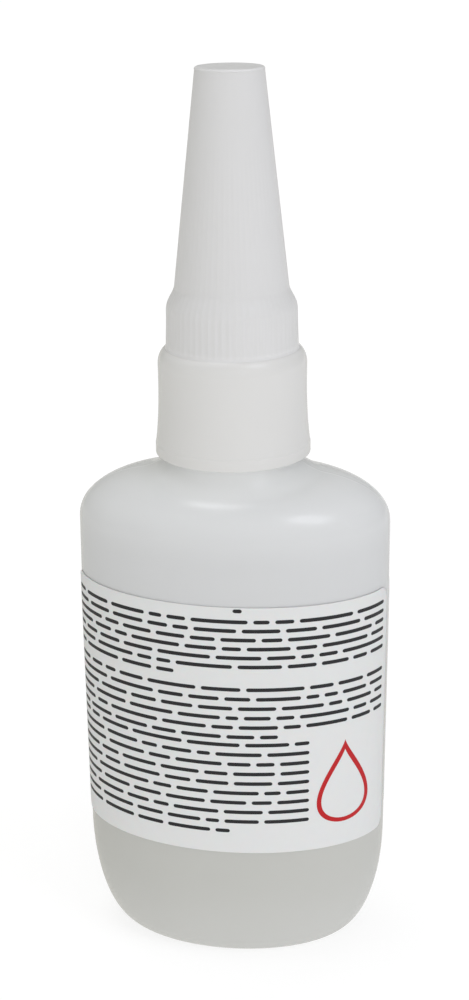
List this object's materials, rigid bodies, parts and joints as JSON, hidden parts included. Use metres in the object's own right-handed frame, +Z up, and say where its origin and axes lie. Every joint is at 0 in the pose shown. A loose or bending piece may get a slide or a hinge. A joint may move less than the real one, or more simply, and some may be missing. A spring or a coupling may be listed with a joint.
{
  "type": "super glue bottle",
  "caption": "Oval squeeze bottle of instant adhesive with a snapped-on dropper nozzle, a ribbed conical screw cap with a sealing pin, plain paper labels and liquid inside.",
  "frame": {"origin": "middle of the base, on the surface that the bottle stands on", "axes": "+Z up along the axis of the neck and cap, X along the body's width, Y along its depth, with the back label on the -Y side"},
  "size_m": [0.043, 0.0288, 0.1221],
  "materials": {
    "bottle": "natural translucent polyethylene, satin",
    "adhesive": "clear, faintly yellow liquid",
    "nozzle": "natural white polyethylene, satin",
    "cap": "natural white polypropylene, satin",
    "seal_pin": "bright turned steel",
    "label": "white paper, matt"
  },
  "bodies": {
    "bottle": {"bottle": "bottle", "adhesive": "adhesive", "nozzle": "nozzle", "back_label": "label", "front_label": "label"},
    "seal_pin": {"seal_pin": "seal_pin"},
    "cap": {"cap": "cap"}
  },
  "joints": [
    {"name": "cap_rise", "type": "slide", "parent": "bottle", "child": "seal_pin", "axis": [0, 0, 1], "range_m": [0, 0.036]},
    {"name": "cap_turn", "type": "hinge", "parent": "seal_pin", "child": "cap", "pos_m": [0, 0, 0.1], "axis": [0, 0, 1], "range_deg": [0, 4320]}
  ],
  "couplings": [
    {"joint": "cap_rise", "follows": "cap_turn", "m_per_rad": 0.00047746}
  ]
}
